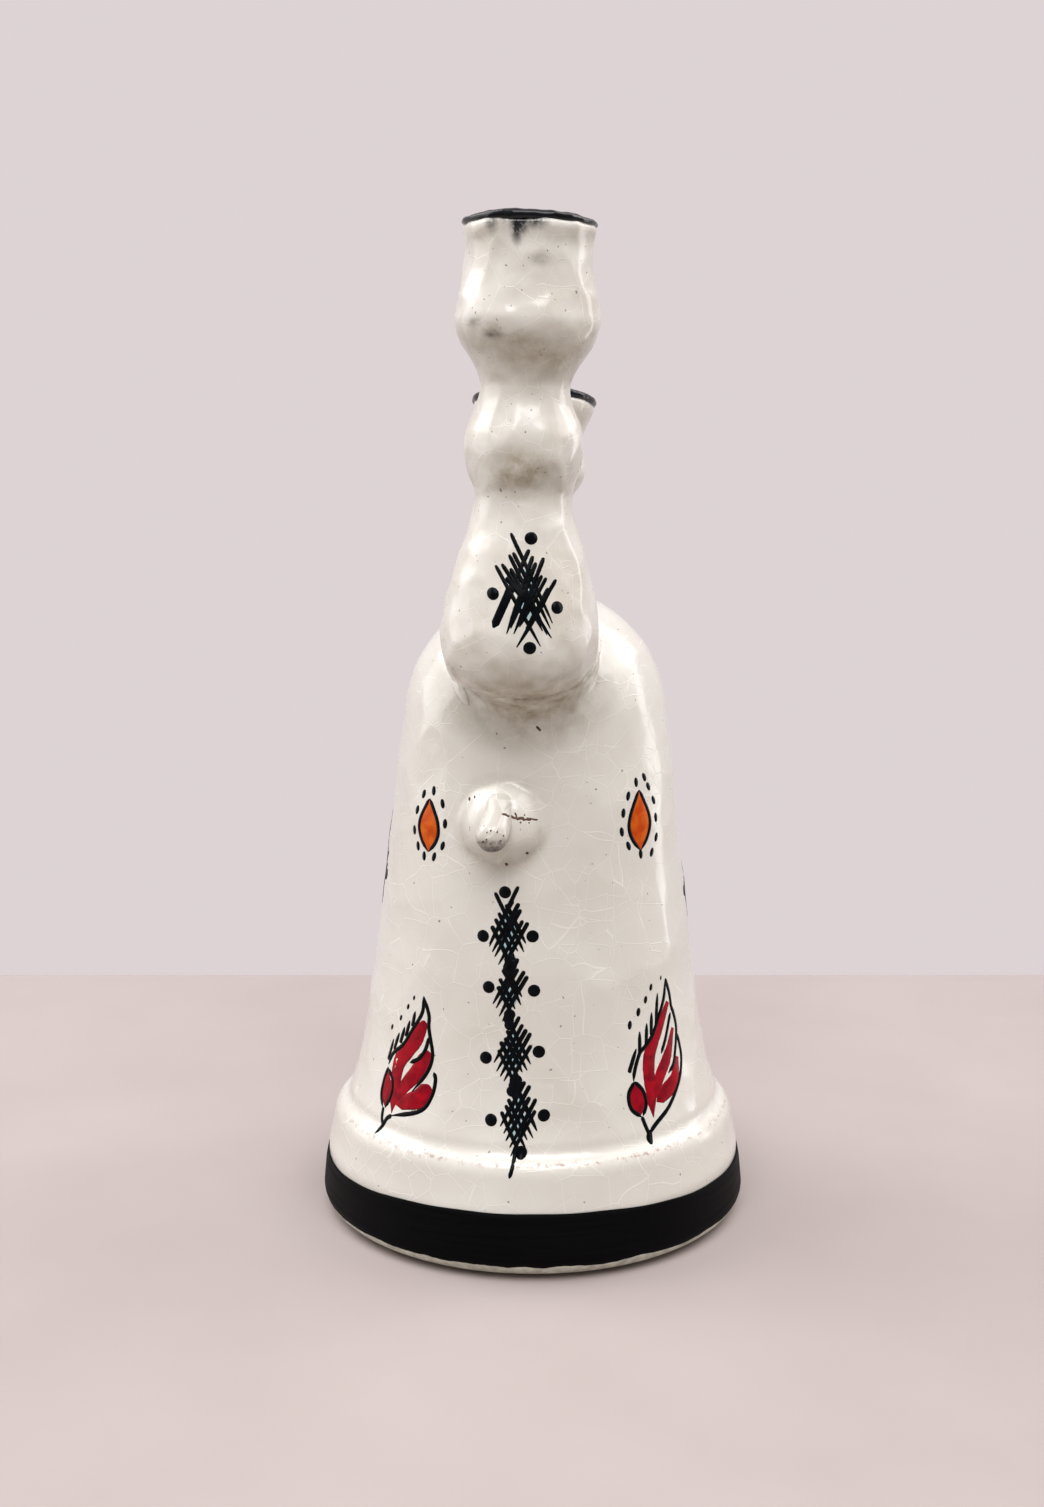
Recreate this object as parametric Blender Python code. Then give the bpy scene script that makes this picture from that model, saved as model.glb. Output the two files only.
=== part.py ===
"""Double-neck vase: a thrown earthenware bell on a foot, with a neck luted to the front and back of its dome.

Units are metres, +Z is up, and the origin is the centre of the foot's underside. The front is -Y.
"""

from collections import namedtuple
from math import acos, atan2, cos, exp, hypot, pi, radians, sin, tan

import bmesh
import bpy
from mathutils import Matrix, Vector

# Slip line left between two pieces that touch
JOINT_GAP = 0.0003

# Foot: base ring, collar with its sloping ledge, and floor slab
BASE_RING_HEIGHT = 0.0194
BAND_SLOPE = 0.0015          # how far the ring draws in from bottom to top
FOOT_EDGE = 0.004            # rounding under the foot
FLANGE_HEIGHT = 0.006
FLANGE_REACH = 0.006         # how far the flange runs in under the floor slab
FLOOR_THICKNESS = 0.006
COLLAR_HEIGHT = 0.0106       # up to the ledge's outer edge
COLLAR_SLOPE = 0.0033        # how far the collar's side draws in from bottom to ledge
LEDGE_EDGE = 0.003           # rounding of the ledge's outer edge
LEDGE_WIDTH = 0.0026
LEDGE_RISE = 0.004           # from the ledge's outer edge up to the bell

# Bell: straight skirt inside the foot, flare, cone and dome
BELL_FOOT_RADIUS = 0.0577
FLARE_WIDTH = 0.0045
FLARE_LENGTH = 0.0142        # height over which the flare falls to about a third
BELL_HEIGHT = 0.1166         # ledge to the dome's centre
DOME_RADIUS = 0.0394
BELL_WALL = 0.0045
PASSAGE_RADIUS = 0.009       # hole in the dome under each neck

# Stud on the front of the bell
STUD_DROP = 0.0249           # below the dome's centre
STUD_TURN = radians(-11.0)
STUD_REACH = 0.0142
STUD_TIP_RADIUS = 0.0046
STUD_FLARE_WIDTH = 0.0058
STUD_FLARE_LENGTH = 0.0075

# Both necks
NECK_WALL = 0.0035
SPIGOT_DEPTH = 0.005
COIL_REACH = 0.0075          # how far the coil climbs the dome and the bulb
COIL_HOLLOW = 0.25           # how much its face sinks towards the crease
LIP_HEIGHT = 0.003
LIP_BEAD = 0.0009            # how far the lip stands out of the mouth
LIP_SKIRT_DEPTH = 0.003
LIP_SKIRT_WALL = 0.0014

# Front neck, from its bulb's centre up
FRONT_TURN = radians(-6.0)
FRONT_CLIMB = radians(39.7)  # slope of the line from the dome's centre to the bulb's
FRONT_BITE = 0.0122          # how far the bulb sinks into the dome
FRONT_LEAN = radians(0.0)
FRONT_TILT = radians(1.4)    # to the right, seen from the front
FRONT_BULB_RADIUS = 0.0215
FRONT_BULB_RISE = 0.0345
FRONT_JOINT_RADIUS = 0.0133
FRONT_SWELL_RISE = 0.0145
FRONT_SWELL_RADIUS = 0.0161
FRONT_WAIST_RISE = 0.0145
FRONT_WAIST_RADIUS = 0.0122
FRONT_CUP_RISE = 0.0175
FRONT_CUP_RADIUS = 0.0195
FRONT_THROAT_RISE = 0.018
FRONT_THROAT_RADIUS = 0.0165
FRONT_MOUTH_RISE = 0.0077
FRONT_MOUTH_RADIUS = 0.0171

# Rear neck, from its bulb's centre up
REAR_TURN = radians(0.0)
REAR_CLIMB = radians(44.0)
REAR_BITE = 0.0116
REAR_LEAN = radians(10.0)
REAR_TILT = radians(0.0)
REAR_BULB_RADIUS = 0.0192
REAR_BULB_RISE = 0.0305
REAR_JOINT_RADIUS = 0.0118
REAR_SWELL_RISE = 0.0095
REAR_SWELL_RADIUS = 0.0166
REAR_WAIST_RISE = 0.009
REAR_WAIST_RADIUS = 0.0152
REAR_MOUTH_RISE = 0.0105
REAR_MOUTH_RADIUS = 0.0187

# Facets round each turned piece, and steps along one stretch of its outline
BODY_SIDES = 40
NECK_SIDES = 28
STUD_SIDES = 20
CURVE_STEPS = 4

# Points closer than this are one point
WELD = 0.000001

# Levels and radii that follow from the sizes above
COLLAR_BOTTOM = BASE_RING_HEIGHT + JOINT_GAP
EDGE_LEVEL = COLLAR_BOTTOM + COLLAR_HEIGHT
LEDGE_LEVEL = EDGE_LEVEL + LEDGE_RISE
DOME_LEVEL = LEDGE_LEVEL + BELL_HEIGHT
SKIRT_BOTTOM = FLANGE_HEIGHT + JOINT_GAP
LEDGE_RADIUS = BELL_FOOT_RADIUS + LEDGE_WIDTH
COLLAR_RADIUS = LEDGE_RADIUS + COLLAR_SLOPE
FOOT_RADIUS = COLLAR_RADIUS + BAND_SLOPE
BORE_RADIUS = BELL_FOOT_RADIUS + JOINT_GAP
FLOOR_RADIUS = BELL_FOOT_RADIUS - BELL_WALL - JOINT_GAP

# Slope of the cone that runs from the foot of the bell to a tangent on the dome
CONE_FOOT_RADIUS = BELL_FOOT_RADIUS - FLARE_WIDTH
CONE_ANGLE = acos(DOME_RADIUS / hypot(CONE_FOOT_RADIUS, BELL_HEIGHT)) - atan2(BELL_HEIGHT, CONE_FOOT_RADIUS)

# A neck's facing is its turn about the body's axis; its stations are (radius, height) above the bulb's centre
Neck = namedtuple("Neck", "side facing climb bite lean tilt bulb_radius stations")


def clear_scene():
    for item in list(bpy.data.objects):
        bpy.data.objects.remove(item, do_unlink=True)


def finish_material(name, colour, roughness):
    material = bpy.data.materials.new(name)
    material.use_nodes = True
    shader = material.node_tree.nodes["Principled BSDF"]
    shader.inputs["Base Color"].default_value = (*colour, 1.0)
    shader.inputs["Roughness"].default_value = roughness
    shader.inputs["Metallic"].default_value = 0.0
    material.diffuse_color = (*colour, 1.0)
    return material


def arc(centre, radius, start, end, steps):
    """Points of an arc in the outline's plane, from one angle to another, both ends included."""
    points = []
    for step in range(steps + 1):
        angle = start + (end - start) * step / steps
        points.append((centre[0] + radius * cos(angle), centre[1] + radius * sin(angle)))
    return points


def wave(stations, inset=0.0):
    """A soft curve through the waists and swellings of a thrown neck, moved in by the inset."""
    points = [(stations[0][0] - inset, stations[0][1])]
    for (low_radius, low), (high_radius, high) in zip(stations, stations[1:]):
        for step in range(1, CURVE_STEPS + 1):
            share = step / CURVE_STEPS
            blend = (1.0 - cos(pi * share)) / 2.0
            radius = low_radius + (high_radius - low_radius) * blend
            points.append((radius - inset, low + (high - low) * share))
    return points


def stack(*steps):
    """Turn (radius, rise) steps into (radius, height) stations."""
    stations = []
    height = 0.0
    for radius, rise in steps:
        height += rise
        stations.append((radius, height))
    return stations


def turned_mesh(name, outline, sides, closed):
    """Turn an outline of (radius, height) points about Z; an open one starts and ends on the axis."""
    mesh = bpy.data.meshes.new(name)
    work = bmesh.new()
    verts = [work.verts.new((radius, 0.0, height)) for radius, height in outline]
    edges = [work.edges.new(pair) for pair in zip(verts, verts[1:])]
    if closed:
        edges.append(work.edges.new((verts[-1], verts[0])))
    bmesh.ops.spin(work, geom=verts + edges, cent=(0, 0, 0), axis=(0, 0, 1), angle=2 * pi,
                   steps=sides, use_merge=True)
    bmesh.ops.remove_doubles(work, verts=work.verts[:], dist=WELD)
    bmesh.ops.recalc_face_normals(work, faces=work.faces[:])
    work.to_mesh(mesh)
    work.free()
    return mesh


def add_piece(name, outline, sides, material, closed=True, parent=None):
    mesh = turned_mesh(name, outline, sides, closed)
    mesh.materials.append(material)
    mesh.shade_smooth()
    mesh.set_sharp_from_angle(angle=radians(40.0))
    piece = bpy.data.objects.new(name, mesh)
    piece.parent = parent
    bpy.context.scene.collection.objects.link(piece)
    return piece


def add_cutter(name, outline, sides, parent=None):
    cutter = bpy.data.objects.new(name, turned_mesh(name, outline, sides, closed=False))
    cutter.hide_render = True
    cutter.display_type = "WIRE"
    cutter.parent = parent
    bpy.context.scene.collection.objects.link(cutter)
    return cutter


def cut(piece, *cutters):
    for cutter in cutters:
        modifier = piece.modifiers.new("cut by " + cutter.name, "BOOLEAN")
        modifier.operation = "DIFFERENCE"
        modifier.solver = "EXACT"
        modifier.object = cutter


def add_frame(name, matrix):
    """An empty that carries the pieces turned about one axis."""
    frame = bpy.data.objects.new(name, None)
    frame.matrix_world = matrix
    bpy.context.scene.collection.objects.link(frame)
    return frame


def bell_radius(level):
    """Outer radius of the bell between the ledge and the dome."""
    cone = DOME_RADIUS / cos(CONE_ANGLE) + (DOME_LEVEL - level) * tan(CONE_ANGLE)
    return cone + FLARE_WIDTH * exp((LEDGE_LEVEL - level) / FLARE_LENGTH)


def bell_outline(inset):
    """The bell's side and dome, from the ledge up to the axis, moved in by the inset."""
    dome_start = DOME_LEVEL + DOME_RADIUS * sin(CONE_ANGLE)
    points = []
    for step in range(2 * CURVE_STEPS):
        # Squaring the share sets the points close together in the flare
        share = step / (2 * CURVE_STEPS)
        level = LEDGE_LEVEL + (dome_start - LEDGE_LEVEL) * share ** 2
        points.append((bell_radius(level) - inset, level))
    points += arc((0.0, DOME_LEVEL), DOME_RADIUS - inset, CONE_ANGLE, pi / 2, 2 * CURVE_STEPS)[:-1]
    points.append((0.0, DOME_LEVEL + DOME_RADIUS - inset))
    return points


def make_bell(material):
    outline = bell_outline(0.0)[::-1]
    outline.append((BELL_FOOT_RADIUS, SKIRT_BOTTOM))
    outline.append((BELL_FOOT_RADIUS - BELL_WALL, SKIRT_BOTTOM))
    outline += bell_outline(BELL_WALL)
    return add_piece("bell_body", outline, BODY_SIDES, material, closed=False)


def make_bell_shape():
    """The bell as a solid, grown by the slip line, which shapes what is luted onto it."""
    outline = [(0.0, SKIRT_BOTTOM), (BORE_RADIUS, SKIRT_BOTTOM)]
    outline += bell_outline(-JOINT_GAP)
    return add_cutter("bell_shape", outline, BODY_SIDES)


def make_base_ring(material):
    flange_radius = FLOOR_RADIUS - FLANGE_REACH
    outline = [(flange_radius, 0.0)]
    outline += arc((FOOT_RADIUS - FOOT_EDGE, FOOT_EDGE), FOOT_EDGE, -pi / 2, 0.0, CURVE_STEPS)
    outline += [(COLLAR_RADIUS, BASE_RING_HEIGHT), (BORE_RADIUS, BASE_RING_HEIGHT)]
    outline += [(BORE_RADIUS, FLANGE_HEIGHT), (flange_radius, FLANGE_HEIGHT)]
    add_piece("base_ring", outline, BODY_SIDES, material)


def make_collar(material):
    """The side and the sloping ledge meet in a corner, which an arc tangent to both rounds off."""
    side = atan2(COLLAR_SLOPE, COLLAR_HEIGHT)
    ledge = atan2(LEDGE_WIDTH, LEDGE_RISE)
    middle = (side + ledge) / 2.0
    setback = LEDGE_EDGE / cos((ledge - side) / 2.0)
    centre = (LEDGE_RADIUS - setback * cos(middle), EDGE_LEVEL - setback * sin(middle))
    outline = [(BORE_RADIUS, COLLAR_BOTTOM), (COLLAR_RADIUS, COLLAR_BOTTOM)]
    outline += arc(centre, LEDGE_EDGE, side, ledge, CURVE_STEPS)
    outline.append((BORE_RADIUS, LEDGE_LEVEL - JOINT_GAP))
    add_piece("ledge_collar", outline, BODY_SIDES, material)


def make_floor(material):
    top = SKIRT_BOTTOM + FLOOR_THICKNESS
    outline = [(0.0, SKIRT_BOTTOM), (FLOOR_RADIUS, SKIRT_BOTTOM), (FLOOR_RADIUS, top), (0.0, top)]
    add_piece("floor_slab", outline, BODY_SIDES, material, closed=False)


def make_stud(material, bell_shape):
    """A solid nub whose flared root is cut to the side of the bell."""
    level = DOME_LEVEL - STUD_DROP
    place = Matrix.Rotation(STUD_TURN, 4, "Z") @ Matrix.Translation((0.0, -bell_radius(level), level))
    frame = add_frame("stud_axis", place @ Matrix.Rotation(pi / 2 - CONE_ANGLE, 4, "X"))
    shank = STUD_REACH - STUD_TIP_RADIUS
    root_radius = STUD_TIP_RADIUS + STUD_FLARE_WIDTH
    outline = [(0.0, -root_radius), (2.0 * root_radius, -root_radius)]
    for step in range(CURVE_STEPS):
        share = step / CURVE_STEPS
        outline.append((STUD_TIP_RADIUS + STUD_FLARE_WIDTH * (1.0 - share) ** 2, STUD_FLARE_LENGTH * share))
    outline += arc((0.0, shank), STUD_TIP_RADIUS, 0.0, pi / 2, CURVE_STEPS)[:-1]
    outline.append((0.0, STUD_REACH))
    stud = add_piece("front_stud", outline, STUD_SIDES, material, closed=False, parent=frame)
    cut(stud, bell_shape)


def neck_reach(neck):
    """Distance between the centres of the dome and the bulb."""
    return DOME_RADIUS + neck.bulb_radius - neck.bite


def add_neck_frames(neck):
    """One empty along the line from dome to bulb, and one up the neck from the bulb's centre."""
    heading = Matrix.Translation((0.0, 0.0, DOME_LEVEL)) @ Matrix.Rotation(neck.facing, 4, "Z")
    outward = heading @ Matrix.Rotation(pi / 2 - neck.climb, 4, "X")
    centre = outward @ Vector((0.0, 0.0, neck_reach(neck)))
    upright = Matrix.Rotation(neck.tilt, 4, "Y") @ Matrix.Rotation(neck.facing, 4, "Z")
    along = Matrix.Translation(centre) @ upright @ Matrix.Rotation(neck.lean, 4, "X")
    return add_frame(neck.side + "_root_axis", outward), add_frame(neck.side + "_neck_axis", along)


def make_passage(neck, root_axis):
    """The hole through the dome, from inside the bell to the middle of the bulb."""
    start = DOME_RADIUS - 2.0 * BELL_WALL
    end = neck_reach(neck)
    outline = [(0.0, start), (PASSAGE_RADIUS, start), (PASSAGE_RADIUS, end), (0.0, end)]
    return add_cutter(neck.side + "_passage", outline, NECK_SIDES, parent=root_axis)


def bulb_outline(neck):
    """Outside of the bulb: a ball below its centre, drawn in to the joint above it."""
    ball = arc((0.0, 0.0), neck.bulb_radius, -pi / 2, 0.0, 2 * CURVE_STEPS)[1:-1]
    return [(0.0, -neck.bulb_radius)] + ball + wave([(neck.bulb_radius, 0.0), neck.stations[0]])


def make_bulb(neck, neck_axis, material):
    joint_radius, joint_level = neck.stations[0]
    bore = joint_radius - NECK_WALL
    socket_radius = joint_radius - NECK_WALL / 2.0 + JOINT_GAP
    socket_floor = joint_level - SPIGOT_DEPTH - JOINT_GAP
    hollow = neck.bulb_radius - NECK_WALL
    inside = wave([(neck.bulb_radius, 0.0), (joint_radius, socket_floor)], NECK_WALL)
    bowl = arc((0.0, 0.0), hollow, 0.0, -pi / 2, 2 * CURVE_STEPS)[1:-1]
    outline = bulb_outline(neck)
    outline += [(socket_radius, joint_level), (socket_radius, socket_floor), (bore, socket_floor)]
    outline += inside[-2::-1] + bowl + [(0.0, -hollow)]
    return add_piece(neck.side + "_neck_bulb", outline, NECK_SIDES, material, closed=False, parent=neck_axis)


def make_stem(neck, neck_axis, material):
    """Spigot, thrown swellings, and a rebate inside the mouth for the lip's skirt."""
    joint_radius, joint_level = neck.stations[0]
    mouth_radius, mouth_level = neck.stations[-1]
    spigot_radius = joint_radius - NECK_WALL / 2.0
    spigot_end = joint_level - SPIGOT_DEPTH
    shoulder = joint_level + JOINT_GAP
    rebate_radius = mouth_radius - NECK_WALL + LIP_SKIRT_WALL + JOINT_GAP
    rebate = mouth_level - LIP_SKIRT_DEPTH - JOINT_GAP
    outside = wave([(joint_radius, shoulder)] + neck.stations[1:])
    inside = wave(neck.stations[:-1] + [(mouth_radius, rebate)], NECK_WALL)
    outline = [(spigot_radius, spigot_end), (spigot_radius, shoulder)] + outside
    outline += [(rebate_radius, mouth_level), (rebate_radius, rebate)]
    outline += inside[::-1] + [(joint_radius - NECK_WALL, spigot_end)]
    add_piece(neck.side + "_neck_stem", outline, NECK_SIDES, material, parent=neck_axis)


def make_lip(neck, neck_axis, material):
    """A bead that stands out all round, with a skirt down the inside of the mouth."""
    mouth_radius, mouth_level = neck.stations[-1]
    seat = mouth_level + JOINT_GAP
    skirt_end = mouth_level - LIP_SKIRT_DEPTH
    bore = mouth_radius - NECK_WALL
    crown = LIP_HEIGHT / 2.0
    outline = [(bore, skirt_end), (bore + LIP_SKIRT_WALL, skirt_end), (bore + LIP_SKIRT_WALL, seat)]
    outline += arc((mouth_radius + LIP_BEAD - crown, seat + crown), crown, -pi / 2, pi / 2, 2 * CURVE_STEPS)
    outline += arc((bore + crown, seat + crown), crown, pi / 2, pi, CURVE_STEPS)
    add_piece(neck.side + "_lip", outline, NECK_SIDES, material, parent=neck_axis)


def make_coil(neck, root_axis, neck_axis, material, bell_shape):
    """A hollow-faced ring of clay that fills the crease where the bulb's ball meets the dome."""
    reach = neck_reach(neck)
    ball = neck.bulb_radius
    on_dome = acos((reach ** 2 + DOME_RADIUS ** 2 - ball ** 2) / (2.0 * reach * DOME_RADIUS))
    on_ball = acos((reach ** 2 + ball ** 2 - DOME_RADIUS ** 2) / (2.0 * reach * ball))
    dome_angle = on_dome + COIL_REACH / DOME_RADIUS
    ball_angle = on_ball + COIL_REACH / ball
    low = Vector((DOME_RADIUS * sin(dome_angle), DOME_RADIUS * cos(dome_angle)))
    high = Vector((ball * sin(ball_angle), reach - ball * cos(ball_angle)))
    crease = Vector((DOME_RADIUS * sin(on_dome), DOME_RADIUS * cos(on_dome)))
    middle = (low + high) / 2.0
    pull = middle + (crease - middle) * COIL_HOLLOW
    outline = [(crease.x - NECK_WALL, crease.y)]
    for step in range(CURVE_STEPS + 1):
        share = step / CURVE_STEPS
        point = low * (1.0 - share) ** 2 + pull * 2.0 * share * (1.0 - share) + high * share ** 2
        outline.append((point.x, point.y))
    coil = add_piece(neck.side + "_luting_coil", outline, NECK_SIDES, material, parent=root_axis)
    shape = [(radius + JOINT_GAP, height) for radius, height in bulb_outline(neck)[1:]]
    shape = [(0.0, -ball - JOINT_GAP)] + shape + [(0.0, neck.stations[0][1])]
    bulb_shape = add_cutter(neck.side + "_bulb_shape", shape, NECK_SIDES, parent=neck_axis)
    cut(coil, bell_shape, bulb_shape)


def make_neck(neck, bell, bell_shape, glaze, lip_glaze):
    root_axis, neck_axis = add_neck_frames(neck)
    passage = make_passage(neck, root_axis)
    cut(bell, passage)
    bulb = make_bulb(neck, neck_axis, glaze)
    cut(bulb, bell_shape, passage)
    make_stem(neck, neck_axis, glaze)
    make_lip(neck, neck_axis, lip_glaze)
    make_coil(neck, root_axis, neck_axis, glaze, bell_shape)


def front_neck():
    stations = stack((FRONT_JOINT_RADIUS, FRONT_BULB_RISE), (FRONT_SWELL_RADIUS, FRONT_SWELL_RISE),
                     (FRONT_WAIST_RADIUS, FRONT_WAIST_RISE), (FRONT_CUP_RADIUS, FRONT_CUP_RISE),
                     (FRONT_THROAT_RADIUS, FRONT_THROAT_RISE), (FRONT_MOUTH_RADIUS, FRONT_MOUTH_RISE))
    return Neck("front", FRONT_TURN, FRONT_CLIMB, FRONT_BITE, FRONT_LEAN, FRONT_TILT,
                FRONT_BULB_RADIUS, stations)


def rear_neck():
    stations = stack((REAR_JOINT_RADIUS, REAR_BULB_RISE), (REAR_SWELL_RADIUS, REAR_SWELL_RISE),
                     (REAR_WAIST_RADIUS, REAR_WAIST_RISE), (REAR_MOUTH_RADIUS, REAR_MOUTH_RISE))
    return Neck("rear", REAR_TURN + pi, REAR_CLIMB, REAR_BITE, REAR_LEAN, REAR_TILT,
                REAR_BULB_RADIUS, stations)


def main():
    clear_scene()
    cream = finish_material("cream_glaze", (0.72, 0.67, 0.58), 0.22)
    band_black = finish_material("black_band", (0.010, 0.010, 0.013), 0.40)
    lip_black = finish_material("blue_black_lip", (0.012, 0.015, 0.025), 0.15)
    bare_clay = finish_material("bare_clay", (0.55, 0.42, 0.32), 0.85)
    worn_glaze = finish_material("worn_glaze", (0.60, 0.52, 0.43), 0.40)

    bell = make_bell(cream)
    bell_shape = make_bell_shape()
    make_base_ring(band_black)
    make_collar(cream)
    make_floor(bare_clay)
    make_stud(worn_glaze, bell_shape)
    for neck in (front_neck(), rear_neck()):
        make_neck(neck, bell, bell_shape, cream, lip_black)
    bpy.context.view_layer.update()


main()
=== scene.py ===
import random
from math import acos, atan2, cos, exp, hypot, pi, radians, sin, tan

import bpy
from mathutils import Matrix, Vector


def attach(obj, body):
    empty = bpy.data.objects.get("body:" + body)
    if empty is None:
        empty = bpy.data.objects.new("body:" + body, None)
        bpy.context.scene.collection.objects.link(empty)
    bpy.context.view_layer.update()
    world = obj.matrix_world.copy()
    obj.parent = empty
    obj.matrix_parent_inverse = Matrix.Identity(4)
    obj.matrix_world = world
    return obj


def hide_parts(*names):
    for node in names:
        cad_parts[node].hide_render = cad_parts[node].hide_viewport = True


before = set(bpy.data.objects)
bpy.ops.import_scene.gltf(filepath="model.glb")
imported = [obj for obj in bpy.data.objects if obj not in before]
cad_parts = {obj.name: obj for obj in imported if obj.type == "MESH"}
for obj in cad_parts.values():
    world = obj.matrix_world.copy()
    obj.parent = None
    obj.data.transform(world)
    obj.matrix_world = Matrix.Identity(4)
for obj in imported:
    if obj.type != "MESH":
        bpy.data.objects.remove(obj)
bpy.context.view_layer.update()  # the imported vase, kept as a fixed frame
mm = 0.001
print("frame loaded:", len(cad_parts), "nodes")


# Bench tools

def clamp(value):
    return max(0, min(1, value))


def shift(point):
    return Matrix.Translation(Vector(point) * mm)


def rotation(degrees, axis):
    return Matrix.Rotation(radians(degrees), 4, axis)


def deselectAll():
    bpy.ops.object.select_all(action="DESELECT")


def pick(*pieces):
    deselectAll()
    for piece in pieces:
        piece.select_set(True)
    bpy.context.view_layer.objects.active = pieces[0]


def modify(piece, kind, **settings):
    pick(piece)
    modifier = piece.modifiers.new(kind.lower(), kind)
    for key, value in settings.items():
        setattr(modifier, key, value)
    bpy.ops.object.modifier_apply(modifier=modifier.name)


def turn(name, outline, sides=64, place=None):
    # one point is drawn out along the outline of (radius, height) in millimetres, then spun round Z
    deselectAll()
    bpy.ops.mesh.primitive_plane_add(size=mm)
    piece = bpy.context.object
    piece.name = piece.data.name = name
    bpy.ops.object.mode_set(mode="EDIT")
    bpy.ops.mesh.merge(type="CENTER")
    here = Vector((outline[0][0], 0, outline[0][1])) * mm
    bpy.ops.transform.translate(value=here)
    for radius, height in outline[1:]:
        there = Vector((radius, 0, height)) * mm
        bpy.ops.mesh.extrude_region_move(TRANSFORM_OT_translate={"value": there - here})
        here = there
    bpy.ops.mesh.select_all(action="SELECT")
    bpy.ops.mesh.spin(steps=sides, angle=2 * pi, center=(0, 0, 0), axis=(0, 0, 1))
    bpy.ops.mesh.select_all(action="SELECT")
    bpy.ops.mesh.remove_doubles(threshold=mm / 1000)
    bpy.ops.mesh.normals_make_consistent(inside=False)
    bpy.ops.object.mode_set(mode="OBJECT")
    bpy.ops.object.shade_smooth()
    if place is not None:
        stand(piece, place)
    return piece


def stand(piece, place):
    # the place goes into the mesh, and the object stays at the origin
    pick(piece)
    piece.matrix_world = place
    bpy.ops.object.transform_apply(location=True, rotation=True, scale=True)


def carve(piece, *cutters):
    for cutter in cutters:
        modify(piece, "BOOLEAN", operation="DIFFERENCE", solver="MANIFOLD", object=cutter)
        bpy.data.objects.remove(cutter, do_unlink=True)


def grade(piece, name, low, high):
    # a vertex group that rises from nothing at one level to all at another, in millimetres
    group = piece.vertex_groups.new(name=name)
    for vert in piece.data.vertices:
        share = (vert.co.z / mm - low) / (high - low)
        group.add([vert.index], clamp(share), "REPLACE")


def wobble(piece, hand, group=""):
    # the potter's hand, as grain, depth and kind: clouds swell the skin, and cells press round dents in it
    for grain, depth, kind in hand:
        marks = bpy.data.textures.new(piece.name + " " + kind.lower(), kind)
        marks.noise_scale = grain * mm
        middle = 0.5
        if kind == "VORONOI":
            marks.distance_metric = "DISTANCE_SQUARED"
            middle = 0.25
        modify(piece, "DISPLACE", texture=marks, strength=depth * mm, mid_level=middle,
               texture_coords="LOCAL", vertex_group=group)


def arc(centre, radius, start, end, steps):
    angles = [start + (end - start) * step / steps for step in range(steps + 1)]
    return [(centre[0] + radius * cos(angle), centre[1] + radius * sin(angle)) for angle in angles]


def through(points, share):
    # a soft curve through all the points; share runs from 0 at the first to 1 at the last
    last = len(points) - 1
    spot = clamp(share) * last
    index = min(int(spot), last - 1)
    t = spot - index
    b, c = points[index], points[index + 1]
    a = points[index - 1] if index else 2 * b - c
    d = points[index + 2] if index + 2 <= last else 2 * c - b
    bow = (2 * a - 5 * b + 4 * c - d) * t ** 2 + (3 * b - a - 3 * c + d) * t ** 3
    return 0.5 * (2 * b + (c - a) * t + bow)


def finish(piece, material, slot, *nodes):
    piece.data.materials.clear()
    piece.data.materials.append(material)
    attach(piece, "root")
    if nodes:
        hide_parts(*nodes)
    print(piece.name + ":", len(piece.data.polygons), "faces")


# Materials

white = (1, 1, 1, 1)
black = (0, 0, 0, 1)


def linear(hexColour):
    parts = [int(hexColour[i:i + 2], 16) / 255 for i in (1, 3, 5)]
    return tuple(p / 12.92 if p <= 0.04045 else ((p + 0.055) / 1.055) ** 2.4 for p in parts) + (1.0,)


def feed(tree, node, inputs):
    # inputs maps a socket's name or number to a value or to the socket that feeds it
    for key, value in inputs.items():
        if isinstance(value, bpy.types.NodeSocket):
            tree.links.new(value, node.inputs[key])
        else:
            node.inputs[key].default_value = value


def addNode(tree, kind, inputs, give=0, stops=(), **settings):
    # makes a node, fills a ramp's stops, and gives back one of its outputs
    node = tree.nodes.new("ShaderNode" + kind)
    for key, value in settings.items():
        setattr(node, key, value)
    feed(tree, node, inputs)
    for index, (position, colour) in enumerate(stops):
        marks = node.color_ramp.elements
        mark = marks[index] if index < len(marks) else marks.new(position)
        mark.position = position
        mark.color = colour
    return node.outputs[give]


def startMaterial(name):
    material = bpy.data.materials.new(name)
    material.use_nodes = True
    tree = material.node_tree
    return material, tree, tree.nodes["Principled BSDF"], addNode(tree, "TexCoord", {}, "Object")


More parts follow.
